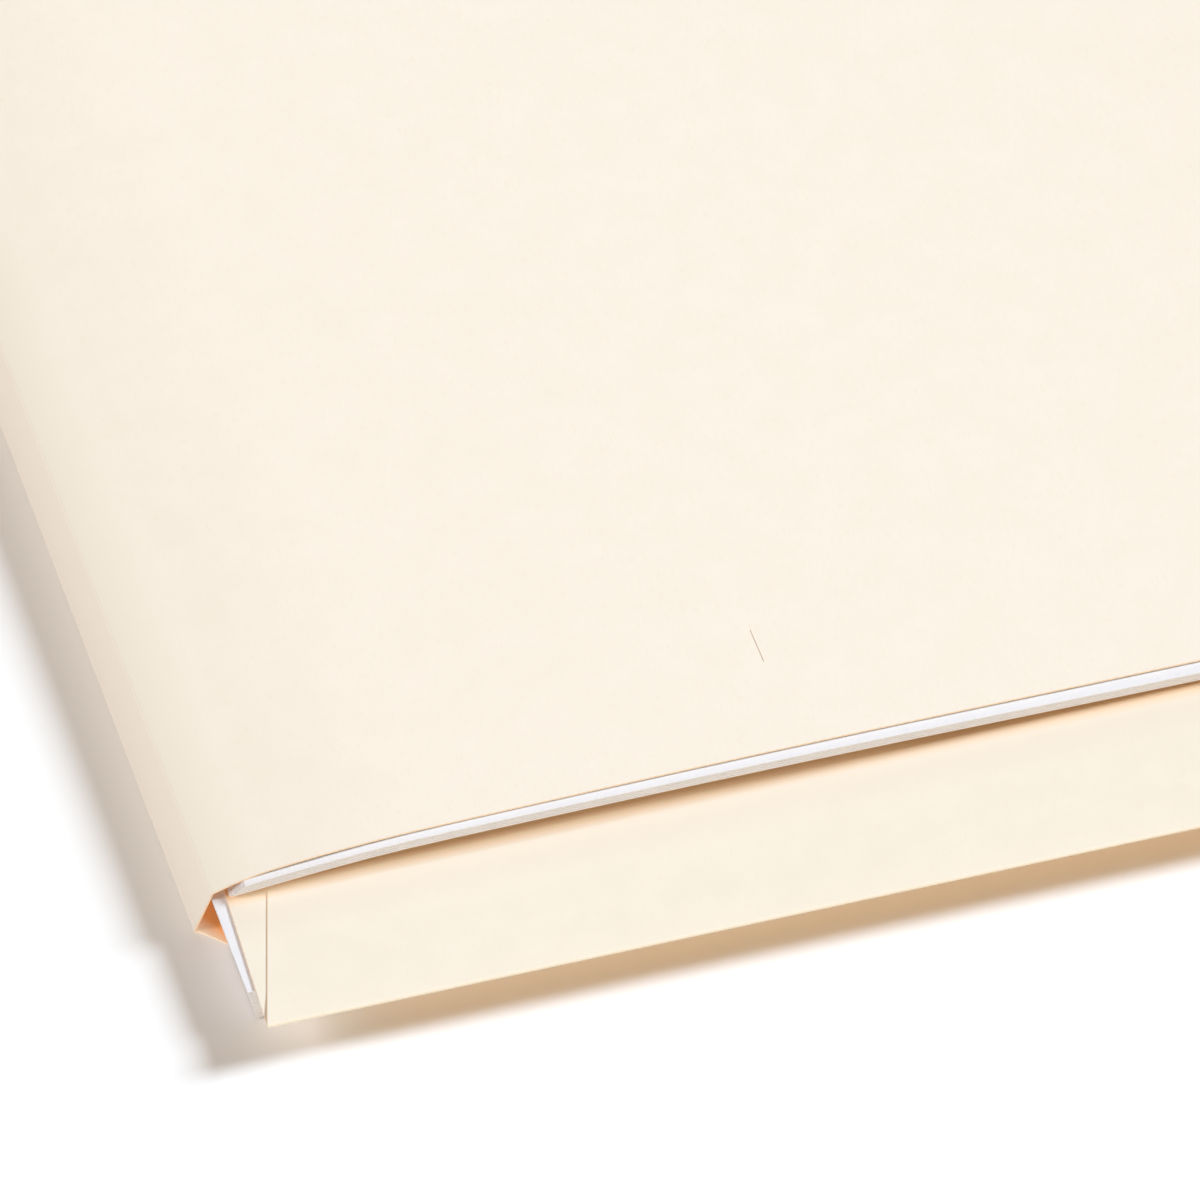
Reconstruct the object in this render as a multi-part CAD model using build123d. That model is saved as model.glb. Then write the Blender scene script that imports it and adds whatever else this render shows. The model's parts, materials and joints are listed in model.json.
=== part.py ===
"""Manila end-tab folder with its papers, closed and lying flat.

X runs from the spine to the long open edge, Y along the spine away from the
tab end, and Z up. Everything is laid out from the outer corner of the lower
spine crease at the tab end, and moved at the end so that the origin is the
bottom centre of the whole object's box.
"""
import os
from math import asin, cos, radians, sin, tan

from build123d import *

# Folder board, cut to letter size
board = 0.28                # thickness of 11-point manila
panel_width = 241.3         # spine crease to free edge, 9-1/2 in
cover_length = 298.5        # front cover along the spine, 11-3/4 in
end_tab = 12.7              # the back cover's tab past the front cover, 1/2 in
corner_radius = 6.35        # rounding of the corners away from the spine
crease_gap = 0.04           # play left along the spine panel at each crease

# How the closed folder stands around its contents
spine_lean = 68.0           # degrees from the floor, leaning in over the papers
roll_drop = 2.4             # how far the front cover rolls down to its crease
roll_run = 7.1              # width of that roll
cover_clearance = 0.8       # air between the top sheet and the front cover

# Fastener slits through the front cover
slit_length = 6.5
slit_width = 0.25
slit_spacing = 69.85        # prong centres of a paper fastener, 2-3/4 in
slit_from_crease = 86.0     # first slit
slit_from_end = 20.0        # slit centres to the tab end of the cover

# Letter sheets
sheet_width = 215.9
sheet_length = 279.4
sheet = 0.105               # thickness with the air that loose sheets hold

# Lower papers, under the divider
bundle_count = 9
bundle_sheets = 6
lower_out = 18.1            # past the spine's end
lower_lean = 1.2            # the stack leans this far towards the spine
spine_clearance = 0.2       # spine panel to the top sheet of the lower papers
lower_jog_x = 0.08
lower_jog_y = 0.15

# Upper papers, between the divider and the front cover
upper_count = 18
upper_out = 1.0             # past the spine's end at the spine side
upper_from_crease = 4.9     # upper crease to the top sheet, clear of the roll
upper_lean = 2.4            # the lowest sheet lies this much nearer the spine
upper_turn = 0.37           # degrees the stack is turned in the folder
upper_jog_x = 0.12
upper_jog_y = 0.2
jog_step = 2.4              # radians from one sheet's jog to the next

# Divider with its end folded back on itself as a two-ply tab
divider_width = 228.6
divider_length = 304.8
divider_out = 25.4          # fold past the spine's end
divider_left = 3.75         # lower crease to the left end of the fold
divider_turn = 1.05         # degrees the divider is turned in the folder
flap_depth = 50.8           # the ply that is folded back
leaf_inset = 1.4            # how far the leaf's sides are set in behind that ply
flap_taper = 15.0           # degrees its ends are cut in
glue = 0.12                 # thickness of the glue between the plies
glue_line_width = 2.0
glue_line_margin = 4.0      # glue to the fold and to the flap's free edge
glue_first = 33.0           # left end of the fold to the first line
glue_spacing = 29.2

# Heights of the layers above the floor
lower_count = bundle_count * bundle_sheets
divider_floor = board + lower_count * sheet
flap_floor = divider_floor + board + glue
upper_floor = flap_floor + board
upper_top = upper_floor + upper_count * sheet
cover_top = upper_top + cover_clearance + board

# Spine panel and the roll of the cover, as seen from the tab end
lean = radians(spine_lean)
crease_z = cover_top - roll_drop
crease_x = crease_z / tan(lean)
mitre = board / tan(lean / 2)
roll_radius = (roll_run**2 + roll_drop**2) / (2 * roll_drop)
roll_angle = asin(roll_run / roll_radius)
flat_x = crease_x + roll_run
free_edge_x = flat_x + panel_width - roll_radius * roll_angle


def spine_inner_x(height):
    """Where the spine panel's inner face is at a height."""
    return height / tan(lean) + board / sin(lean)


def along_spine(points):
    """A prism of an X-Z outline, as long as the front cover."""
    outline = make_face(Polyline(*[(x, 0, z) for x, z in points], close=True))
    return extrude(outline, amount=cover_length, dir=(0, 1, 0))


def upright(outline, bottom, height):
    """A plate from a flat outline."""
    return Pos(0, 0, bottom) * extrude(outline, amount=height)


def make_back_cover():
    """Bottom panel with the end tab, its spine edge mitred to the crease."""
    corners = [
        (0, 0),
        (end_tab, -end_tab),
        (panel_width, -end_tab),
        (panel_width, cover_length),
        (0, cover_length),
    ]
    outline = make_face(Polyline(*corners, close=True))
    rounded = outline.vertices().filter_by(lambda v: v.X > end_tab / 2)
    plate = upright(fillet(rounded, corner_radius), 0, board)
    return plate - along_spine([(0, 0), (mitre, board), (0, board)])


def make_spine_panel():
    """Narrow panel between the two creases, mitred at both."""
    step_x = crease_gap * cos(lean)
    step_z = crease_gap * sin(lean)
    reach = board / cos(lean - roll_angle)
    inner_x = crease_x + reach * sin(roll_angle)
    inner_z = crease_z - reach * cos(roll_angle)
    return along_spine([
        (step_x, step_z),
        (crease_x - step_x, crease_z - step_z),
        (inner_x - step_x, inner_z - step_z),
        (mitre + step_x, board + step_z),
    ])


def make_front_cover():
    """Top panel, rolled down to the upper crease, with a pair of slits."""
    centre_z = cover_top - roll_radius

    def on_roll(radius, angle):
        return (flat_x - radius * sin(angle), 0, centre_z + radius * cos(angle))

    inner = roll_radius - board
    edges = [
        ThreePointArc(*[on_roll(roll_radius, roll_angle * k) for k in (1, 0.5, 0)]),
        Line((flat_x, 0, cover_top), (free_edge_x, 0, cover_top)),
        Line((free_edge_x, 0, cover_top), (free_edge_x, 0, cover_top - board)),
        Line((free_edge_x, 0, cover_top - board), (flat_x, 0, cover_top - board)),
        ThreePointArc(*[on_roll(inner, roll_angle * k) for k in (0, 0.5, 1)]),
        Line(on_roll(inner, roll_angle), on_roll(roll_radius, roll_angle)),
    ]
    cover = extrude(make_face(Curve() + edges), amount=cover_length, dir=(0, 1, 0))
    corners = cover.edges().filter_by(Axis.Z).group_by(Axis.X)[-1]
    cover = fillet(corners, corner_radius)
    for k in range(2):
        slit_x = crease_x + slit_from_crease + k * slit_spacing
        cover -= Pos(slit_x, slit_from_end, cover_top) * Box(slit_width, slit_length, 4 * board)
    return cover


def in_divider(shape):
    """Place a shape drawn from the left end of the divider's fold."""
    return Pos(divider_left, -divider_out, 0) * Rot(0, 0, -divider_turn) * shape


def make_divider_leaf():
    """Divider sheet and its folded ply, one piece of board."""
    outer = board + glue / 2
    middle = divider_floor + outer
    leaf_outline = make_face(Polyline(
        (0, outer),
        (divider_width, outer),
        (divider_width - leaf_inset, flap_depth),
        (divider_width - leaf_inset, divider_length),
        (leaf_inset, divider_length),
        (leaf_inset, flap_depth),
        close=True,
    ))
    far_corners = leaf_outline.vertices().group_by(Axis.Y)[-1]
    leaf = upright(fillet(far_corners, corner_radius), divider_floor, board)
    taper = (flap_depth - outer) * tan(radians(flap_taper))
    flap_outline = make_face(Polyline(
        (0, outer),
        (divider_width, outer),
        (divider_width - taper, flap_depth),
        (taper, flap_depth),
        close=True,
    ))
    flap = upright(flap_outline, flap_floor, board)
    fold = Cylinder(outer, divider_width) - Cylinder(glue / 2, divider_width)
    fold = Pos(divider_width / 2, outer, middle) * Rot(0, 90, 0) * fold
    behind = Pos(divider_width / 2, 2 * outer, middle) * Box(divider_width, 2 * outer, 2 * outer)
    return in_divider(leaf + (fold - behind) + flap)


def make_glue_lines():
    """Lines of glue that hold the folded ply down."""
    length = flap_depth - board - 2 * glue_line_margin
    flap_right = divider_width - flap_depth * tan(radians(flap_taper))
    count = int((flap_right - glue_first) / glue_spacing) + 1
    bottom = divider_floor + board
    lines = []
    for k in range(count):
        line = Box(glue_line_width, length, glue, align=(Align.CENTER, Align.MIN, Align.MIN))
        place = Pos(glue_first + k * glue_spacing, board + glue_line_margin, bottom)
        lines.append(in_divider(place * line))
    return Compound(children=lines)


def make_sheet():
    """One letter sheet with its front left corner at the origin."""
    return Box(sheet_width, sheet_length, sheet, align=(Align.MIN, Align.MIN, Align.MIN))


def make_lower_bundle(number):
    """One bundle of the lower papers, numbered from the bottom."""
    top_left = spine_inner_x(divider_floor) + spine_clearance
    sheets = []
    for i in range(number * bundle_sheets, (number + 1) * bundle_sheets):
        left = top_left + lower_lean * (1 - i / (lower_count - 1))
        left += lower_jog_x * sin(i * jog_step)
        front = -lower_out + lower_jog_y * cos(i * jog_step)
        sheets.append(Pos(left, front, board + i * sheet) * make_sheet())
    return Compound(children=sheets)


def make_upper_sheet(number):
    """One sheet of the upper papers, numbered from the bottom."""
    left = -upper_lean * (1 - number / (upper_count - 1))
    left += upper_jog_x * sin(number * jog_step)
    front = upper_jog_y * cos(number * jog_step)
    corner = Pos(crease_x + upper_from_crease, -upper_out, upper_floor + number * sheet)
    return corner * Rot(0, 0, -upper_turn) * Pos(left, front, 0) * make_sheet()


nodes = {
    "back_cover": make_back_cover(),
    "spine_panel": make_spine_panel(),
    "front_cover": make_front_cover(),
    "divider_leaf": make_divider_leaf(),
    "tab_glue_lines": make_glue_lines(),
}
for k in range(bundle_count):
    nodes[f"lower_sheets_{k + 1:02d}"] = make_lower_bundle(k)
for k in range(upper_count):
    nodes[f"upper_sheet_{k + 1:02d}"] = make_upper_sheet(k)

boxes = [shape.bounding_box() for shape in nodes.values()]
middle_x = (min(b.min.X for b in boxes) + max(b.max.X for b in boxes)) / 2
middle_y = (min(b.min.Y for b in boxes) + max(b.max.Y for b in boxes)) / 2
to_origin = Pos(-middle_x, -middle_y, 0)

os.makedirs("parts", exist_ok=True)
for name, shape in nodes.items():
    export_step(to_origin * shape, f"parts/{name}.step")

print("nodes", len(nodes))
print("lower crease", -middle_x, 0.0)
print("upper crease", crease_x - middle_x, crease_z)
print("spine end", -middle_y, "free edge", free_edge_x - middle_x, "top", cover_top)
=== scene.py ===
# %% [markdown]
# A manila end-tab folder lies closed on a white table, filled with letter paper.
# Between two piles of sheets lies a divider, and its end is folded back on itself as
# a two-ply tab. This lesson dresses the measured model: the board gets its creases,
# its rolled spine and its curl, and each sheet of paper gets its own edge.

# %% Load the measured model
import json
from math import cos, pi, radians, sin, tan

import bmesh
import bpy
from mathutils import Euler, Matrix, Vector

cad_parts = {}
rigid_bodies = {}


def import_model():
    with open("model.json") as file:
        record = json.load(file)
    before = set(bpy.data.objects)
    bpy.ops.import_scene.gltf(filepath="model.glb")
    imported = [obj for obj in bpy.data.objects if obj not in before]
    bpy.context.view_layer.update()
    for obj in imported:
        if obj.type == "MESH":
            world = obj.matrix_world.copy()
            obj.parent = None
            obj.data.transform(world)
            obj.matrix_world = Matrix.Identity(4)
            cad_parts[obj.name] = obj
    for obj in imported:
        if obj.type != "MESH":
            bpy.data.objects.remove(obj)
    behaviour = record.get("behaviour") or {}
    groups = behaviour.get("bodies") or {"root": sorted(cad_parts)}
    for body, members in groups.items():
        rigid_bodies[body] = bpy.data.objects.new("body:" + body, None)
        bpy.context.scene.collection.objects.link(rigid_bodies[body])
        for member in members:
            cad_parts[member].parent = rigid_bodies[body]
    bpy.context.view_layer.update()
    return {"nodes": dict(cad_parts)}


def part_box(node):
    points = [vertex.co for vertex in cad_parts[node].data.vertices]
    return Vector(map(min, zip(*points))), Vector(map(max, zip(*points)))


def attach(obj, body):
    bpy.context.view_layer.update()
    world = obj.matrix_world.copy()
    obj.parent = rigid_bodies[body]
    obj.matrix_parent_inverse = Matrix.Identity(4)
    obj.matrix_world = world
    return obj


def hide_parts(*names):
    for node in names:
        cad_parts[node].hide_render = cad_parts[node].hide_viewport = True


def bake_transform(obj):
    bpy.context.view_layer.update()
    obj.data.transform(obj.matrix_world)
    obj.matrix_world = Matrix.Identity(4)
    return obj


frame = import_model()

MM = 0.001
spine_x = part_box("back_cover")[0][0]
spine_end_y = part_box("front_cover")[0][1]


def place(x, y, z):
    """A point in millimetres from the spine's outer bottom corner at the tab end."""
    return Vector((spine_x + x * MM, spine_end_y + y * MM, z * MM))


# %% [markdown]
# The photograph is a close view from above the spine's end. A long lens a good
# distance away keeps the edges almost parallel. The camera is placed from one known
# point: the spine's bottom corner shows at a known pixel, so stepping back from there
# along the view, and sideways by that pixel's distance from the middle of the frame,
# gives the camera's place.

# %% Camera at the photograph's viewing angle
frame_px = 1200
sensor_mm = 36
focal_px = 11738
px_per_mm = 7.16
corner_px = (193, 933)
view_elevation = 46.4
view_azimuth = -17.122

turn = Euler((radians(90 - view_elevation), 0, radians(view_azimuth)))
to_corner = Vector((
    (corner_px[0] - frame_px / 2) / px_per_mm,
    (frame_px / 2 - corner_px[1]) / px_per_mm,
    -focal_px / px_per_mm,
)) * MM
to_corner.rotate(turn)

bpy.ops.object.select_all(action="DESELECT")
bpy.ops.object.camera_add(location=place(0, 0, 0) - to_corner, rotation=turn)
camera = bpy.context.object
camera.data.sensor_width = sensor_mm
camera.data.lens = sensor_mm * focal_px / frame_px
bpy.context.scene.camera = camera
print("camera at", [round(c, 3) for c in camera.location])
print("lens", round(camera.data.lens, 1), "mm")

# %% [markdown]
# The photograph shows the folder on plain white, with soft warm shadows. A picture of a
# room could light the scene, but a plain even world is simpler and gives a soft fill.
# It is warm, because the shadows get their colour from it, and the backdrop that the
# camera sees stays white.

# %% Room light
bpy.context.scene.view_settings.view_transform = "Standard"
room_level = 0.15
room_tint = (1.0, 0.76, 0.54)

room = bpy.data.worlds.new("white_room")
bpy.context.scene.world = room
room.use_nodes = True
nodes = room.node_tree.nodes
links = room.node_tree.links
nodes.clear()
path = nodes.new("ShaderNodeLightPath")
seen = nodes.new("ShaderNodeMath")
seen.operation = "MAXIMUM"
links.new(path.outputs["Is Camera Ray"], seen.inputs[0])
links.new(path.outputs["Is Glossy Ray"], seen.inputs[1])
seen_through = nodes.new("ShaderNodeMath")
seen_through.operation = "MAXIMUM"
links.new(seen.outputs[0], seen_through.inputs[0])
links.new(path.outputs["Is Transmission Ray"], seen_through.inputs[1])
lighting = nodes.new("ShaderNodeBackground")
lighting.inputs["Strength"].default_value = room_level
lighting.inputs["Color"].default_value = (*room_tint, 1)
backdrop = nodes.new("ShaderNodeBackground")
backdrop.inputs["Color"].default_value = (1, 1, 1, 1)
mix = nodes.new("ShaderNodeMixShader")
links.new(seen_through.outputs[0], mix.inputs["Fac"])
links.new(lighting.outputs[0], mix.inputs[1])
links.new(backdrop.outputs[0], mix.inputs[2])
links.new(mix.outputs[0], nodes.new("ShaderNodeOutputWorld").inputs["Surface"])
print("room light", room_level, "of full white")

# %% [markdown]
# The shadows fall to the left and have a soft edge, so the main lamp stands on the
# right and is wide. Sun lamps are chosen, because an area lamp would be weaker at the
# far side of the folder. A warmer and weaker lamp on the left lights the spine and the
# bend of the cover, and a low panel near the viewer lights the edges of the papers.
# Together they bring a level white sheet to about full white, so a colour shows about
# as it is written.

# %% Soft lamps to the right and the left, and a wide low panel in front
lamp_aim = place(80, 40, 0)


def add_lamp(name, level, elevation, heading, softness, tint):
    """A far lamp whose level is what a white sheet facing it would show."""
    towards = Vector((
        cos(elevation) * cos(heading),
        cos(elevation) * sin(heading),
        sin(elevation),
    ))
    bpy.ops.object.light_add(type="SUN", location=lamp_aim + towards)
    lamp = bpy.context.object
    lamp.name = name
    lamp.rotation_euler = towards.to_track_quat("Z", "Y").to_euler()
    lamp.data.angle = softness
    lamp.data.energy = level * pi
    lamp.data.color = tint
    print(name, round(lamp.data.energy, 2), "W per square metre")


add_lamp("right_lamp", 1.20, radians(32), radians(4), radians(18), (0.80, 0.903, 1.0))
add_lamp("left_lamp", 0.465, radians(30), radians(176), radians(25), (1.0, 0.935, 0.92))
add_lamp("low_panel", 0.46, radians(14), radians(258), radians(30), (1.0, 0.89, 0.73))

# %% [markdown]
# The table is a plain white sheet. It is white to the camera and a pale grey to
# everything else, so that it throws less light back on the folder and the shadows
# stay deep.

# %% White table
table_size = 8
table_grey = 0.80
seen_brighter = 0.213

bpy.ops.mesh.primitive_plane_add(size=table_size, location=(0, 0, 0))
table = bpy.context.object
table.name = "white_table"
material = bpy.data.materials.new("table_white")
material.use_nodes = True
nodes = material.node_tree.nodes
links = material.node_tree.links
nodes.clear()
path = nodes.new("ShaderNodeLightPath")
level = nodes.new("ShaderNodeMath")
level.operation = "MULTIPLY_ADD"
level.inputs[1].default_value = seen_brighter
level.inputs[2].default_value = table_grey
links.new(path.outputs["Is Camera Ray"], level.inputs[0])
surface = nodes.new("ShaderNodeBsdfDiffuse")
links.new(level.outputs[0], surface.inputs["Color"])
links.new(surface.outputs[0], nodes.new("ShaderNodeOutputMaterial").inputs["Surface"])
table.data.materials.append(material)
print("table", table_size, "m wide")

# %% [markdown]
# Manila board is pressed from unbleached fibre. From a step away it is an even warm
# cream; close up it has a soft mottle, short fibres that run along the sheet, a few
# darker flecks, and a matt face with a very fine tooth. All of it is made from noise
# on object coordinates, so that the pattern sits still on the board from every side.
# The mottle is wide, the fibres are noise stretched along one direction, and the
# flecks are the few peaks of a finer noise.

# %% Shared steps for a material
def new_material(name):
    """An empty material with its node tools."""
    material = bpy.data.materials.new(name)
    material.use_nodes = True
    material.node_tree.nodes.clear()
    return material, material.node_tree.nodes, material.node_tree.links


def noise_along(nodes, links, coordinates, stretch, scale, detail):
    """Noise whose grain is stretched by a different amount along each direction."""
    mapping = nodes.new("ShaderNodeMapping")
    mapping.inputs["Scale"].default_value = stretch
    links.new(coordinates, mapping.inputs["Vector"])
    noise = nodes.new("ShaderNodeTexNoise")
    noise.inputs["Scale"].default_value = scale
    noise.inputs["Detail"].default_value = detail
    links.new(mapping.outputs[0], noise.inputs["Vector"])
    return noise.outputs["Fac"]


def blend_by(nodes, links, amount, low, high, first, second):
    """A colour that goes from the first to the second as an amount goes from low to high."""
    spread = nodes.new("ShaderNodeMapRange")
    spread.inputs["From Min"].default_value = low
    spread.inputs["From Max"].default_value = high
    links.new(amount, spread.inputs["Value"])
    mix = nodes.new("ShaderNodeMix")
    mix.data_type = "RGBA"
    links.new(spread.outputs[0], mix.inputs["Factor"])
    for socket, colour in ((mix.inputs[6], first), (mix.inputs[7], second)):
        if hasattr(colour, "is_linked"):
            links.new(colour, socket)
        else:
            socket.default_value = (*colour, 1)
    return mix.outputs[2]


# %% Manila board
fibre_tone = (0.93, 0.835, 0.70)
fleck_tone = (0.87, 0.74, 0.58)
board_tooth = 0.03 * MM
no_glow = (0, 0, 0)


def distance_along(nodes, links, spot, direction):
    """How far a spot lies along a direction, in metres."""
    along = nodes.new("ShaderNodeVectorMath")
    along.operation = "DOT_PRODUCT"
    along.inputs[1].default_value = direction
    links.new(spot, along.inputs[0])
    return along.outputs["Value"]


def make_manila(name, pale, deep, fades=(), glow=0, glow_fades=()):
    """Board with its mottle, fibres and flecks, between two tones.

    Each fade is a colour, a direction, and how far along it the colour is full and gone;
    no colour stands for the plain board. The board may also have a painted glow, by
    fades of its own, and there no colour stands for no glow.
    """
    material, nodes, links = new_material(name)
    spot = nodes.new("ShaderNodeTexCoord").outputs["Object"]
    mottle = noise_along(nodes, links, spot, (1, 1, 1), 160, 4)
    fibre = noise_along(nodes, links, spot, (1, 0.22, 1), 2600, 3)
    fleck = noise_along(nodes, links, spot, (1, 0.45, 1), 1500, 2)
    tooth = noise_along(nodes, links, spot, (1, 0.5, 1), 5200, 4)
    plain = blend_by(nodes, links, mottle, 0.30, 0.70, deep, pale)
    plain = blend_by(nodes, links, fibre, 0.56, 0.86, plain, fibre_tone)
    plain = blend_by(nodes, links, fleck, 0.76, 0.88, plain, fleck_tone)
    colour = plain
    for tone, direction, full, none in fades:
        along = distance_along(nodes, links, spot, direction)
        colour = blend_by(nodes, links, along, none, full, colour, tone or plain)
    # Painted glow: the board gives off light where its glow fades put it, though it is no lamp
    painted_glow = no_glow
    for tone, direction, full, none in glow_fades:
        along = distance_along(nodes, links, spot, direction)
        painted_glow = blend_by(nodes, links, along, none, full, painted_glow, tone or no_glow)
    relief = nodes.new("ShaderNodeBump")
    relief.inputs["Strength"].default_value = 0.25
    relief.inputs["Distance"].default_value = board_tooth
    links.new(tooth, relief.inputs["Height"])
    board = nodes.new("ShaderNodeBsdfPrincipled")
    board.inputs["Roughness"].default_value = 0.82
    board.inputs["Specular IOR Level"].default_value = 0.25
    if glow:
        board.inputs["Emission Strength"].default_value = glow
        links.new(painted_glow, board.inputs["Emission Color"])
    links.new(colour, board.inputs["Base Color"])
    links.new(relief.outputs[0], board.inputs["Normal"])
    links.new(board.outputs[0], nodes.new("ShaderNodeOutputMaterial").inputs["Surface"])
    print("material", name, len(nodes), "nodes")
    return material


# %% [markdown]
# In the photo the board isn't one colour: the outer faces and the end of the divider
# that sticks out are pale, and what lies inside is a deeper buff. Such tones could be
# painted on by hand. Here each is a fade between two lines, because a line can be
# placed where a crease or a pile's edge is.

# %% Directions of the fades, and lines across them
inwards = Vector((1, 0, 0))
backwards = Vector((0, 1, 0))
from_corner = Vector((2, 1, 0)).normalized()
upper_turn = radians(0.37)
upper_front = -1.0
shade_turn = upper_turn + radians(0.3)
shade_middle = 70
across_pile = Vector((sin(upper_turn), cos(upper_turn), 0))
across_shade = Vector((sin(shade_turn), cos(shade_turn), 0))


def past_spine_edge(step):
    """Where a line this many millimetres in from the spine is, as fades measure it."""
    return place(step, 0, 0).x


def past_spine_end(step):
    """The same, back from the spine's end."""
    return place(0, step, 0).y


def past_corner(step):
    """The same, from the spine's bottom corner into the mouth of the fold."""
    return from_corner.dot(place(0, 0, 0)) + step * MM


def past_pile_edge(step):
    """The same, back from the upper papers' front edge."""
    return across_pile.dot(place(0, upper_front, 0)) + step * MM


def past_shade_edge(step):
    """The same, back from a line that leaves more room for their shadow to the right."""
    return across_shade.dot(place(shade_middle, upper_front, 0)) + step * MM


print("pile edge at", round(past_pile_edge(0), 4), "m, turned", round(upper_turn, 4), "radians")

# %% [markdown]
# Outside, a painted highlight makes the cover paler along its bend, and painted shade
# makes the spine greyer, because the lamps alone don't give the step of tone that the
# photo shows at the upper crease. Light that is caught in the open end of the fold goes
# from board to board and through it, and turns orange; so the inner face gets painted
# orange shade there with a faint painted glow, which fades out into the covers and
# further along the spine, and a painted pool of light at the spine's bottom corner.

# %% Folder board: painted highlight on the bend, painted shade on the spine and in the fold's mouth
manila = make_manila(
    "manila_board",
    pale=(0.970, 0.892, 0.780),
    deep=(0.950, 0.872, 0.752),
    fades=[
        # Painted highlight: paler along the cover's bend, full at the crease, gone 14 mm in
        ((0.995, 0.962, 0.850), inwards, past_spine_edge(3.0), past_spine_edge(14.0)),
        # Painted shade: the spine greyer than the covers
        ((0.905, 0.866, 0.792), inwards, past_spine_edge(2.7), past_spine_edge(3.0)),
    ],
)
# Painted orange shade and glow in the fold's mouth, with a painted pool of light at its corner
mouth_painted_light = [
    ((0.92, 0.43, 0.155), inwards, past_spine_edge(4.5), past_spine_edge(10)),
    (None, backwards, past_spine_end(40), past_spine_end(10)),
    ((0.96, 0.86, 0.72), from_corner, past_corner(0.5), past_corner(3.2)),
]
manila_inside = make_manila(
    "manila_inside",
    pale=(0.950, 0.830, 0.660),
    deep=(0.930, 0.800, 0.620),
    fades=mouth_painted_light,
    glow=0.12,
    glow_fades=mouth_painted_light,
)

# %% [markdown]
# The divider gets painted shade where the upper papers' edge lies on it: a painted
# orange shadow along the edge and a fainter painted shade further out. A painted glow
# along the edge also makes up for the arched pile's shadow, which would be wider than
# in the photo; it ends halfway across the folder, where the shadow is narrow. Under its
# tab it gets a painted orange tone and glow, for light that comes through the two plies.

# %% Divider board: painted shadow and glow along the papers' edge and under the tab
divider_pale = (0.955, 0.880, 0.750)
divider_deep = (0.935, 0.860, 0.722)
manila_divider = make_manila(
    "manila_divider",
    divider_pale,
    divider_deep,
    fades=[
        # Painted shade: a faint tail of the pile's shadow, 2 to 9 mm in front of its edge
        ((0.895, 0.800, 0.672), across_pile, past_pile_edge(-2), past_pile_edge(-9)),
        # Painted shadow: orange along the pile's edge, on a line turned to widen to the right
        ((0.93, 0.63, 0.37), across_shade, past_shade_edge(0), past_shade_edge(-2.4)),
        ((0.94, 0.81, 0.63), across_pile, past_pile_edge(8), past_pile_edge(1)),
    ],
    glow=0.25,
    # Painted glow in front of the pile's edge, none under the pile or far to the right
    glow_fades=[
        ((1.0, 0.85, 0.62), across_pile, past_pile_edge(0.1), past_pile_edge(-1.2)),
        (None, across_pile, past_pile_edge(1.3), past_pile_edge(0.2)),
        (None, inwards, past_spine_edge(110), past_spine_edge(60)),
    ],
)
# Painted orange tone and glow under the tab, for light through the two plies; none at its left
# end
under_tab_painted_light = [
    ((0.95, 0.60, 0.26), backwards, past_spine_end(-5), past_spine_end(20)),
    (None, inwards, past_spine_edge(6), past_spine_edge(26)),
]
manila_under = make_manila(
    "manila_under",
    divider_pale,
    divider_deep,
    fades=under_tab_painted_light,
    glow=0.16,
    glow_fades=under_tab_painted_light,
)

# %% [markdown]
# Where the board was cut, the die has opened its fibre. Such an edge is darker and
# browner than the faces, and it is what draws the thin line round each board. Light
# that has entered the faces leaves by it, so it gets a faint painted glow.

# %% Cut edge of the board, with a painted glow
def make_cut_edge(dark, light, glow_tone, glow):
    """Opened fibre between two tones, with a faint painted glow."""
    material, nodes, links = new_material("manila_cut_edge")
    spot = nodes.new("ShaderNodeTexCoord").outputs["Object"]
    fibre = noise_along(nodes, links, spot, (1, 1, 3), 1800, 3)
    colour = blend_by(nodes, links, fibre, 0.35, 0.65, dark, light)
    edge = nodes.new("ShaderNodeBsdfPrincipled")
    edge.inputs["Roughness"].default_value = 0.90
    edge.inputs["Specular IOR Level"].default_value = 0.20
    edge.inputs["Emission Color"].default_value = (*glow_tone, 1)
    edge.inputs["Emission Strength"].default_value = glow
    links.new(colour, edge.inputs["Base Color"])
    links.new(edge.outputs[0], nodes.new("ShaderNodeOutputMaterial").inputs["Surface"])
    print("material", material.name, len(nodes), "nodes")
    return material


cut_edge = make_cut_edge(
    dark=(0.72, 0.53, 0.36),
    light=(0.82, 0.64, 0.46),
    # A painted glow on the cut edges, though they are no lamp
    glow_tone=(1.0, 0.84, 0.66),
    glow=0.16,
)

# %% [markdown]
# Copier paper is a cooler white than the board, smoother and a little brighter. Its
# faces show only a faint cloudiness, and its cut edges show fine fibres, so the same
# noise is used much weaker.

# %% Copier paper
def make_paper(cloudy, clear, fibre_grey, tooth):
    """Paper between two whites, with grey fibres and a fine tooth."""
    material, nodes, links = new_material("copier_paper")
    spot = nodes.new("ShaderNodeTexCoord").outputs["Object"]
    cloud = noise_along(nodes, links, spot, (1, 1, 1), 300, 3)
    fibre = noise_along(nodes, links, spot, (1, 1, 0.4), 4000, 3)
    colour = blend_by(nodes, links, cloud, 0.30, 0.70, cloudy, clear)
    colour = blend_by(nodes, links, fibre, 0.55, 0.90, colour, fibre_grey)
    relief = nodes.new("ShaderNodeBump")
    relief.inputs["Strength"].default_value = 0.15
    relief.inputs["Distance"].default_value = tooth
    links.new(fibre, relief.inputs["Height"])
    sheet = nodes.new("ShaderNodeBsdfPrincipled")
    sheet.inputs["Roughness"].default_value = 0.70
    sheet.inputs["Specular IOR Level"].default_value = 0.30
    links.new(colour, sheet.inputs["Base Color"])
    links.new(relief.outputs[0], sheet.inputs["Normal"])
    links.new(sheet.outputs[0], nodes.new("ShaderNodeOutputMaterial").inputs["Surface"])
    print("material", material.name, len(nodes), "nodes")
    return material


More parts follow.
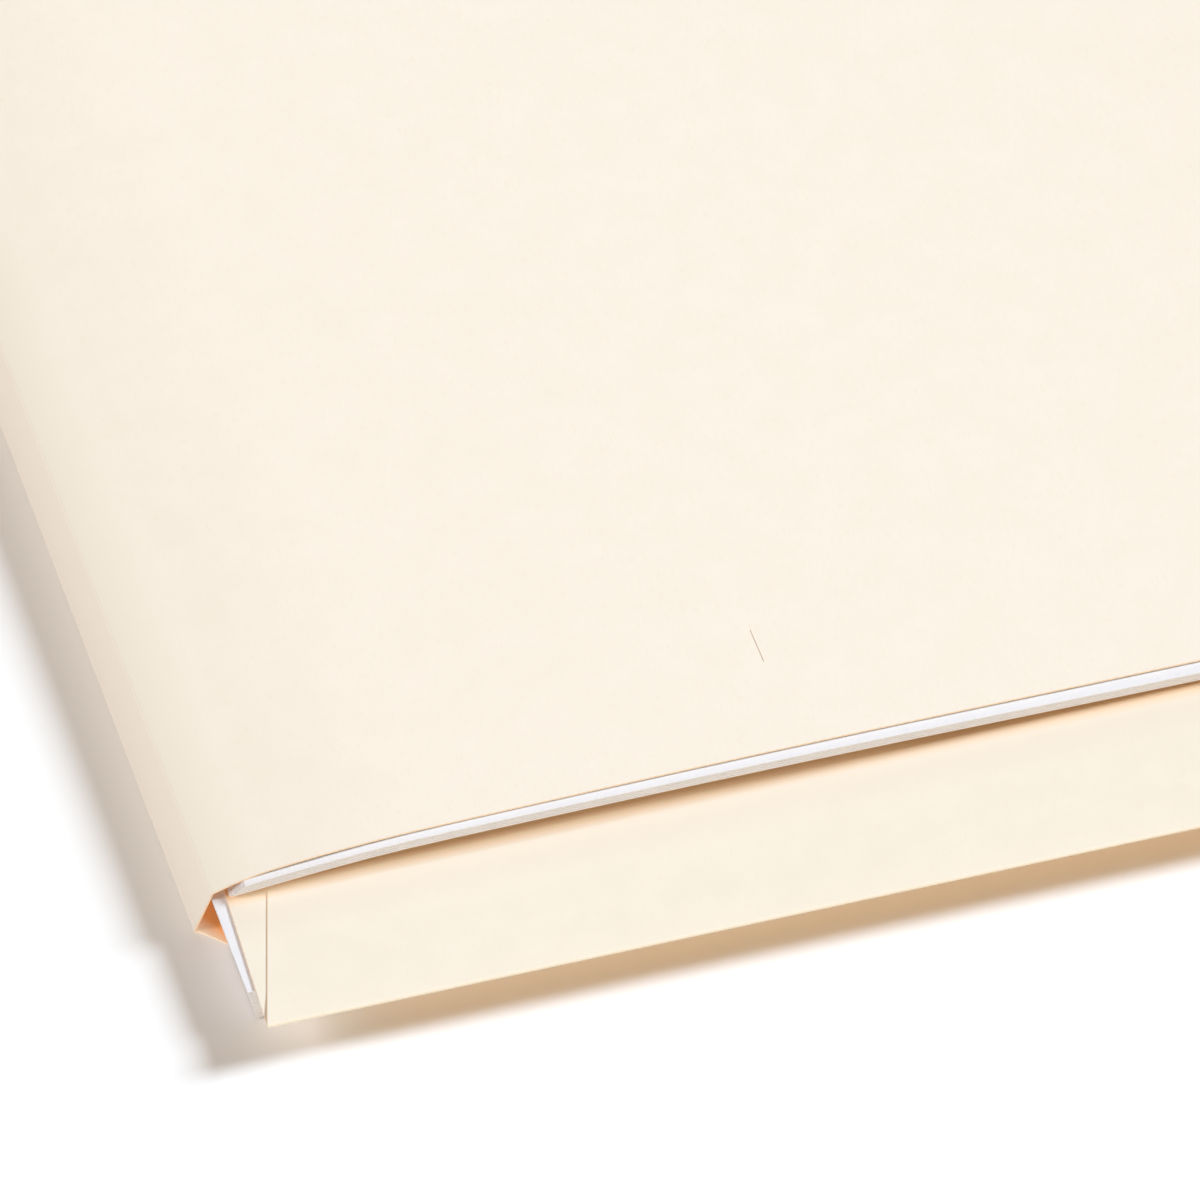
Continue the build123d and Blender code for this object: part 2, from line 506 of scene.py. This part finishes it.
paper = make_paper(
    cloudy=(0.850, 0.848, 0.880),
    clear=(0.880, 0.878, 0.905),
    fibre_grey=(0.78, 0.78, 0.80),
    tooth=0.02 * MM,
)

# %% [markdown]
# The glue that holds the folded tab dries to a pale, slightly glossy amber. Only its
# ends can be seen, deep between the two plies, so streaks of two tones are enough.

# %% Dried glue
def make_glue(dark, light):
    """Streaks of glue between two tones."""
    material, nodes, links = new_material("dried_glue")
    spot = nodes.new("ShaderNodeTexCoord").outputs["Object"]
    streak = noise_along(nodes, links, spot, (1, 0.2, 1), 900, 3)
    colour = blend_by(nodes, links, streak, 0.35, 0.65, dark, light)
    bead = nodes.new("ShaderNodeBsdfPrincipled")
    bead.inputs["Roughness"].default_value = 0.35
    links.new(colour, bead.inputs["Base Color"])
    links.new(bead.outputs[0], nodes.new("ShaderNodeOutputMaterial").inputs["Surface"])
    return material


glue = make_glue(dark=(0.80, 0.66, 0.42), light=(0.88, 0.77, 0.55))
lines = frame["nodes"]["tab_glue_lines"]
lines.data.materials.clear()
lines.data.materials.append(glue)
print("glue lines keep the measured shape,", len(lines.data.polygons), "faces")

# %% [markdown]
# All the board and paper starts as a flat rectangle and is then worked on in edit
# mode. These helpers add the rectangle, select by place, and give a skin its
# thickness. Selecting by place means that a face, an edge or a point is picked
# because of where it lies, as one would by eye.

# %% Helpers for working on a sheet
near = 0.01
touching = 0.001
smooth_angle = radians(35)


def start_sheet(name, left, right, front, back, height):
    """A flat rectangle in millimetres, open for editing."""
    middle = place((left + right) / 2, (front + back) / 2, height)
    bpy.ops.object.select_all(action="DESELECT")
    bpy.ops.mesh.primitive_plane_add(size=MM, location=middle)
    piece = bpy.context.object
    piece.name = name
    piece.scale = (right - left, back - front, 1)
    bpy.ops.object.transform_apply(location=True, rotation=True, scale=True)
    bpy.ops.object.mode_set(mode="EDIT")
    return piece


def anywhere(x, y, z):
    """A test that every point passes."""
    return True


def pick(kind, test):
    """Select the points, edges or faces all of whose points pass a test, in millimetres."""
    bpy.ops.mesh.select_mode(type=kind)
    bpy.ops.mesh.select_all(action="DESELECT")
    data = bpy.context.object.data
    mesh = bmesh.from_edit_mesh(data)
    passed = {}
    for point in mesh.verts:
        at = (point.co - place(0, 0, 0)) / MM
        passed[point] = test(at.x, at.y, at.z)
    if kind == "VERT":
        for point in mesh.verts:
            point.select_set(passed[point])
    else:
        for part in mesh.edges if kind == "EDGE" else mesh.faces:
            part.select_set(all(passed[point] for point in part.verts))
    mesh.select_flush_mode()
    bmesh.update_edit_mesh(data)


def push_out(x, y, z):
    """Extrude what is selected, by a step in millimetres."""
    bpy.ops.mesh.extrude_region_move(TRANSFORM_OT_translate={"value": (x * MM, y * MM, z * MM)})


def cut_at(test, x=None, y=None):
    """Cut the faces that pass a test along a line of constant x or y."""
    pick("FACE", test)
    normal = (1, 0, 0) if y is None else (0, 1, 0)
    bpy.ops.mesh.bisect(plane_co=place(x or 0, y or 0, 0), plane_no=normal)


def lift(test, height):
    """Raise the points that pass a test by millimetres."""
    pick("VERT", test)
    bpy.ops.transform.translate(value=(0, 0, height * MM))


def thicken(piece, thickness, face, inside=None, rim=None):
    """Give a skin its thickness, inwards from its outer face, and its materials."""
    bpy.ops.object.select_all(action="DESELECT")
    piece.select_set(True)
    bpy.context.view_layer.objects.active = piece
    for material in (face, inside or face, rim or face):
        piece.data.materials.append(material)
    solid = piece.modifiers.new("thickness", "SOLIDIFY")
    solid.thickness = thickness * MM
    solid.offset = -1
    solid.use_even_offset = True
    solid.material_offset = 1
    solid.material_offset_rim = 2
    bpy.ops.object.modifier_apply(modifier=solid.name)
    bpy.ops.object.shade_smooth_by_angle(angle=smooth_angle)


# %% [markdown]
# The folder is one piece of board, so it is modelled as one strip that runs from the
# free edge of the back cover, round the lower crease, up the spine, round the upper
# crease and on to the free edge of the front cover. Each bend is a spin of the strip's
# last edge and each straight is an extrusion, so the strip is drawn as with a pen that
# has a place and a heading. A crease in 11-point board isn't sharp, so both have a small
# radius. The front cover rises from the upper one in two wide bends, since the papers
# under it are arched, and settles again towards the right.

# %% A pen that draws the strip
class Pen:
    """The end of the strip, seen from the tab end: its place and its heading."""

    def __init__(self, x, z, heading):
        self.x, self.z, self.heading = x, z, heading

    def straight(self, length):
        """Go on along the heading."""
        step_x = length * cos(self.heading)
        step_z = length * sin(self.heading)
        push_out(step_x, 0, step_z)
        self.x += step_x
        self.z += step_z

    def bend(self, angle, radius, steps):
        """Turn over by an angle, or up again if both values are negative."""
        centre_x = self.x + radius * sin(self.heading)
        centre_z = self.z - radius * cos(self.heading)
        bpy.ops.mesh.spin(
            steps=steps,
            angle=angle,
            center=place(centre_x, 0, centre_z),
            axis=(0, -1, 0),
        )
        self.heading -= angle
        self.x = centre_x - radius * sin(self.heading)
        self.z = centre_z + radius * cos(self.heading)


# %% Folder strip, from the back cover round the spine to the front cover
board = 0.28
panel_width = 241.3
cover_length = 298.5
lean = radians(68)
spine_height = 7.2
lower_bend = 0.5
upper_bend = 0.12
crease_margin = 0.3
rise_slope = radians(21)
rise_radius = 36
ease_slope = radians(6.5)
ease_radius = 200
level_run = 18
fall_slope = radians(1.25)
fall_radius = 2400
fall_run = 34
free_edge_x = (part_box("front_cover")[1][0] - spine_x) / MM
crease_x = spine_height / tan(lean)
spine_length = spine_height / sin(lean)
flat_start = lower_bend + crease_margin
lower_angle = pi - lean
upper_angle = lean - rise_slope

strip = start_sheet("folder", flat_start, panel_width, 0, cover_length, 0)
pick("EDGE", lambda x, y, z: x < panel_width / 2)
pen = Pen(flat_start, 0, pi)
pen.straight(crease_margin)
pen.bend(lower_angle, lower_bend / tan(lower_angle / 2), steps=18)
pen.straight(crease_margin)
pen.straight(spine_length - lower_bend - upper_bend - 2 * crease_margin)
pen.straight(crease_margin)
pen.bend(upper_angle, upper_bend / tan(upper_angle / 2), steps=14)
pen.straight(crease_margin)
cover_start = (pen.x, pen.z)
pen.bend(rise_slope - ease_slope, rise_radius, steps=10)
pen.bend(ease_slope, ease_radius, steps=10)
pen.straight(level_run)
pen.bend(fall_slope, fall_radius, steps=8)
pen.straight(fall_run)
pen.bend(-fall_slope, -fall_radius, steps=8)
pen.straight(free_edge_x - pen.x)
print("front cover ends at", round(pen.x, 2), round(pen.z, 2), "mm")

# %% [markdown]
# The back cover is longer than the front cover by the end tab. Its corner at the
# spine is cut at 45 degrees, so that the tab doesn't catch, and the free corners are
# rounded by the die that cut the folder. A vertex bevel makes such a rounding: on a
# square corner its offset is the radius.

# %% End tab and rounded corners
end_tab = 12.7
corner_radius = 6.35
corner_steps = 8
middle_z = spine_height / 2

pick("EDGE", lambda x, y, z: z < near and y < near and x > flat_start - near)
push_out(0, -end_tab, 0)
pick("VERT", lambda x, y, z: y < -end_tab / 2 and x < panel_width / 2)
bpy.ops.transform.translate(value=((end_tab - flat_start) * MM, 0, 0))


def round_corner(test, offset):
    """Round the corners that pass a test."""
    pick("VERT", test)
    bpy.ops.mesh.bevel(
        affect="VERTICES", offset=offset * MM, segments=corner_steps, profile=0.5
    )


round_corner(
    lambda x, y, z: x > panel_width - near and abs(y) > near and z < middle_z,
    corner_radius,
)
round_corner(lambda x, y, z: x > free_edge_x - near and z > middle_z, corner_radius)
round_corner(
    lambda x, y, z: y < -end_tab / 2 and x < end_tab + near,
    corner_radius * tan(radians(45) / 2),
)
bpy.ops.mesh.select_all(action="SELECT")
bpy.ops.mesh.flip_normals()
print("strip has", len(bmesh.from_edit_mesh(strip.data).faces), "faces")

# %% [markdown]
# The covers swing about the creases, so the strip is divided into what moves: the
# back cover, the spine panel and the front cover move as they are, and the two
# narrow crease strips are pieces of their own between them. Each crease strip keeps a
# short flat margin, so that the shading runs on smoothly past the division.

# %% Divide the strip at the creases
def take_off(name, test):
    """Separate the faces that pass a test from the strip, as a piece of its own."""
    bpy.context.view_layer.objects.active = strip
    bpy.ops.object.mode_set(mode="EDIT")
    pick("FACE", test)
    before = set(bpy.data.objects)
    bpy.ops.mesh.separate(type="SELECTED")
    bpy.ops.object.mode_set(mode="OBJECT")
    piece = (set(bpy.data.objects) - before).pop()
    piece.name = name
    piece.data.name = name
    return piece


def up_spine(x, z):
    """How far up the spine's slope a point is."""
    return x * cos(lean) + z * sin(lean)


spine_end = spine_length - upper_bend - crease_margin
back_board = take_off(
    "back_board",
    lambda x, y, z: z < touching and x > flat_start - near,
)
front_board = take_off(
    "front_board",
    lambda x, y, z: x > cover_start[0] - touching and z > cover_start[1] - touching,
)
upper_crease = take_off("upper_crease", lambda x, y, z: up_spine(x, z) > spine_end - near)
spine_board = take_off("spine_board", lambda x, y, z: up_spine(x, z) > flat_start - near)
lower_crease = strip
lower_crease.name = "lower_crease"
lower_crease.data.name = "lower_crease"
folder_boards = (back_board, lower_crease, spine_board, upper_crease, front_board)
for piece in folder_boards:
    thicken(piece, board, manila, manila_inside, cut_edge)
    print(piece.name, len(piece.data.polygons), "faces")

# %% [markdown]
# Two slits near the end of the front cover take the prongs of a paper fastener. They
# are cut with a thin blade, so a thin block and a boolean difference do the same.

# %% Fastener slits
slit_width = 0.11
slit_length = 6.5
slit_spacing = 69.85
slit_from_crease = 86.0
slit_from_end = 20.0
blade_middle = 9.8
blade_height = 4

for k in range(2):
    slit_x = crease_x + slit_from_crease + k * slit_spacing
    bpy.ops.object.select_all(action="DESELECT")
    bpy.ops.mesh.primitive_cube_add(
        size=MM, location=place(slit_x, slit_from_end, blade_middle)
    )
    blade = bpy.context.object
    blade.scale = (slit_width, slit_length, blade_height)
    bpy.ops.object.transform_apply(location=True, rotation=True, scale=True)
    blade.data.materials.append(cut_edge)
    cut = front_board.modifiers.new("slit", "BOOLEAN")
    cut.operation = "DIFFERENCE"
    cut.solver = "EXACT"
    cut.material_mode = "TRANSFER"
    cut.object = blade
    bpy.context.view_layer.objects.active = front_board
    bpy.ops.object.modifier_apply(modifier=cut.name)
    bpy.data.objects.remove(blade, do_unlink=True)
print("front cover with slits", len(front_board.data.polygons), "faces")

# %% [markdown]
# On the real folder the board itself is the hinge. Bones could bend it too. Here each
# board rides on its measured body, and each crease strip stays where it was drawn.

# %% Let the folder boards move
for piece, body, node in (
    (back_board, "back", "back_cover"),
    (spine_board, "spine", "spine_panel"),
    (front_board, "cover", "front_cover"),
):
    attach(piece, body)
    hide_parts(node)
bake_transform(lower_crease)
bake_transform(upper_crease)

# %% [markdown]
# The divider is a second piece of board, lying loose on the lower papers. Its end is
# folded right over and glued down, with the ends of the folded ply cut back at a
# slant. It is a flat rectangle whose front edge is spun half a turn and extruded back
# again; the slant comes from narrowing the last edge.

# %% Divider with its folded tab
divider_width = 228.6
divider_length = 304.8
divider_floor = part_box("divider_leaf")[0][2] / MM
flap_depth = 50.8
flap_taper = radians(15)
leaf_inset = 1.4
glue_thickness = 0.12
glue_first = 33.0
glue_spacing = 29.2
glue_count = 7
ridge_half = 3.0
ridge_height = 0.05
pressed_width = 6.0
thinned = 0.12

fold_radius = board + glue_thickness / 2
flap_top = divider_floor + 2 * fold_radius
taper = (flap_depth - fold_radius) * tan(flap_taper)


def narrow_by(inset):
    """Move both ends of what is selected in towards the divider's middle."""
    bpy.ops.transform.resize(
        value=(1 - 2 * inset / divider_width, 1, 1),
        center_override=place(divider_width / 2, 0, 0),
    )


divider_board = start_sheet(
    "divider_board", 0, divider_width, fold_radius, divider_length, divider_floor
)
cut_at(anywhere, y=flap_depth)
pick("VERT", lambda x, y, z: y > flap_depth - near)
narrow_by(leaf_inset)
round_corner(lambda x, y, z: y > divider_length - near, corner_radius)
pick("EDGE", lambda x, y, z: y < fold_radius + near)
bpy.ops.mesh.spin(
    steps=12,
    angle=pi,
    center=place(0, fold_radius, divider_floor + fold_radius),
    axis=(1, 0, 0),
)
push_out(0, flap_depth - fold_radius, 0)
narrow_by(taper)
print("folded sheet", len(bmesh.from_edit_mesh(divider_board.data).faces), "faces")

# %% [markdown]
# Over each line of glue the folded ply stands a hair proud. A bump in the material
# could show that, but not in the outline, so the ply is cut there and the cuts are
# raised. Its slanted ends have no glue under them, so they are pressed down on the
# leaf and end thin.

# %% Glue ridges and pressed ends of the folded ply
past_fold = 1.0
slant_margin = 0.05


def on_flap(x, y, z):
    """Whether a point lies on the folded ply."""
    return z > flap_top - near and y > fold_radius - near


def at_slant(x, y, z):
    """Whether a point lies on one of the ply's slanted ends, before or after pressing."""
    if y < past_fold or not on_flap(x, y, z + glue_thickness):
        return False
    slant = (y - fold_radius) * tan(flap_taper)
    return abs(x - divider_width / 2) > divider_width / 2 - slant - slant_margin


for k in range(glue_count):
    for side in (-ridge_half, 0, ridge_half):
        cut_at(on_flap, x=glue_first + k * glue_spacing + side)
for k in range(glue_count):
    ridge_x = glue_first + k * glue_spacing
    lift(
        lambda x, y, z: on_flap(x, y, z) and y > past_fold and abs(x - ridge_x) < near,
        ridge_height,
    )
cut_at(on_flap, y=pressed_width)
for pressed_x in (taper + pressed_width, divider_width - taper - pressed_width):
    cut_at(on_flap, x=pressed_x)
lift(at_slant, -glue_thickness)
bpy.ops.mesh.select_all(action="SELECT")
bpy.ops.mesh.flip_normals()
bpy.ops.object.mode_set(mode="OBJECT")
thicken(divider_board, board, manila_divider, manila_divider, cut_edge)
divider_board.data.materials.append(manila_under)
bpy.ops.object.mode_set(mode="EDIT")
pick("FACE", lambda x, y, z: z < divider_floor + touching)
divider_board.active_material_index = len(divider_board.data.materials) - 1
bpy.ops.object.material_slot_assign()
lift(at_slant, -thinned)
bpy.ops.object.mode_set(mode="OBJECT")
print("divider", len(divider_board.data.polygons), "faces")

# %% [markdown]
# The divider lies loose, so it isn't square to the folder. It was drawn square, because
# that makes the cuts along it easy, and is now turned and moved as a whole.

# %% Turn the divider to its place on the papers
divider_left = 3.75
divider_out = 25.4
divider_turn = radians(1.05)


def settle(piece, shift, angle):
    """Turn a piece about the layout's corner, move it, and keep that in its mesh."""
    bpy.ops.object.select_all(action="DESELECT")
    piece.select_set(True)
    bpy.context.view_layer.objects.active = piece
    bpy.context.scene.cursor.location = place(0, 0, 0)
    bpy.ops.object.origin_set(type="ORIGIN_CURSOR")
    piece.rotation_euler = (0, 0, angle)
    piece.location = place(*shift)
    bpy.ops.object.transform_apply(location=True, rotation=True, scale=True)


settle(divider_board, (divider_left, -divider_out, 0), -divider_turn)
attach(divider_board, "divider")
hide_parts("divider_leaf")
print("divider turned", round(divider_turn, 4), "radians")

# %% [markdown]
# The papers are letter sheets. One sheet is modelled and copied, each copy with its
# own mesh, a hair to the side of the last one, as sheets lie in a pile that was
# tapped square by hand. A sheet is a little thinner than its share of the pile, so
# that a fine dark line shows between two sheets.

# %% One sheet
sheet_width = 215.9
sheet_length = 279.4
sheet_pitch = 0.105
sheet_thickness = 0.0985

one_sheet = start_sheet("one_sheet", 0, sheet_width, 0, sheet_length, sheet_thickness)
bpy.ops.object.mode_set(mode="OBJECT")
thicken(one_sheet, sheet_thickness, paper)
print(one_sheet.name, len(one_sheet.data.polygons), "faces")


def copy_sheet(name, left, front, height):
    """A copy of the sheet, with its front left corner at a place in millimetres."""
    copy = one_sheet.copy()
    copy.data = one_sheet.data.copy()
    copy.name = name
    copy.data.name = name
    bpy.context.collection.objects.link(copy)
    settle(copy, (left, front, height), 0)
    return copy


# %% [markdown]
# The lower pile lies flat on the back cover and leans a little towards the spine. Its
# sheets are joined in the bundles of the measured model, so that each bundle takes the
# place of one measured piece.

# %% Lower papers, in the bundles of the measured model
bundle_count = 9
bundle_sheets = 6
lower_count = bundle_count * bundle_sheets
lower_out = 18.1
lower_lean = 1.2
lower_jog_x = 0.03
lower_jog_y = 0.04
jog_step = 2.4
spine_clearance = 0.2
lower_left = divider_floor / tan(lean) + board / sin(lean) + spine_clearance

for k in range(bundle_count):
    bundle = []
    for i in range(k * bundle_sheets, (k + 1) * bundle_sheets):
        left = lower_left + lower_lean * (1 - i / (lower_count - 1))
        left += lower_jog_x * sin(i * jog_step)
        front = -lower_out + lower_jog_y * cos(i * jog_step)
        bundle.append(copy_sheet(f"lower_{i:02d}", left, front, board + i * sheet_pitch))
    bpy.ops.object.select_all(action="DESELECT")
    for sheet in bundle:
        sheet.select_set(True)
    bpy.context.view_layer.objects.active = bundle[0]
    bpy.ops.object.join()
    bundle[0].name = f"paper_lower_{k + 1:02d}"
    bundle[0].data.name = bundle[0].name
    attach(bundle[0], "lower_papers")
    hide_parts(f"lower_sheets_{k + 1:02d}")
print("lower papers", lower_count, "sheets in", bundle_count, "bundles")

# %% [markdown]
# The upper pile arches under the front cover, as paper does that was bent while the
# folder was handled. Each of its sheets is cut across at a row of places, and each cut
# is lifted by the arch's height there. The pile is then turned a little, so its front
# edge shows more and more to the right. The two lowest sheets lie a hair further in,
# which leaves a dark line under the pile.

# %% Upper papers, sheet by sheet
upper_count = 18
upper_from_crease = 4.6
upper_left = crease_x + upper_from_crease
upper_lean = 2.25
upper_pitch = 0.099
upper_jog_x = 0.08
upper_jog_y = 0.06
tucked_count = 2
tucked_in = 0.3

# Places across the pile, and the arch's height there
arch = (
    (9, 0.26), (11, 0.48), (13, 0.68), (16, 0.95), (20, 1.30), (25, 1.65), (31, 1.90),
    (38, 1.98), (46, 1.98), (58, 1.96), (72, 1.88), (88, 1.69), (104, 1.41), (118, 1.08),
    (130, 0.80), (142, 0.55), (155, 0.31), (170, 0.13), (185, 0.04),
)

for i in range(upper_count):
    left = upper_left - upper_lean * (1 - i / (upper_count - 1))
    left += upper_jog_x * sin(i * jog_step)
    front = upper_jog_y * cos(i * jog_step) + (tucked_in if i < tucked_count else 0)
    sheet = copy_sheet(
        f"paper_upper_{i + 1:02d}", left, front, flap_top + i * upper_pitch
    )
    bpy.ops.object.mode_set(mode="EDIT")
    for x, _ in arch:
        cut_at(anywhere, x=x)
    for x, rise in arch:
        lift(lambda at_x, y, z: abs(at_x - x) < near, rise)
    bpy.ops.object.mode_set(mode="OBJECT")
    bpy.ops.object.shade_smooth_by_angle(angle=smooth_angle)
    settle(sheet, (0, upper_front, 0), -upper_turn)
    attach(sheet, "upper_papers")
    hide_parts(f"upper_sheet_{i + 1:02d}")
bpy.data.objects.remove(one_sheet, do_unlink=True)
arch_height = max(rise for _, rise in arch)
print("upper papers", upper_count, "sheets, arched by up to", arch_height, "mm")
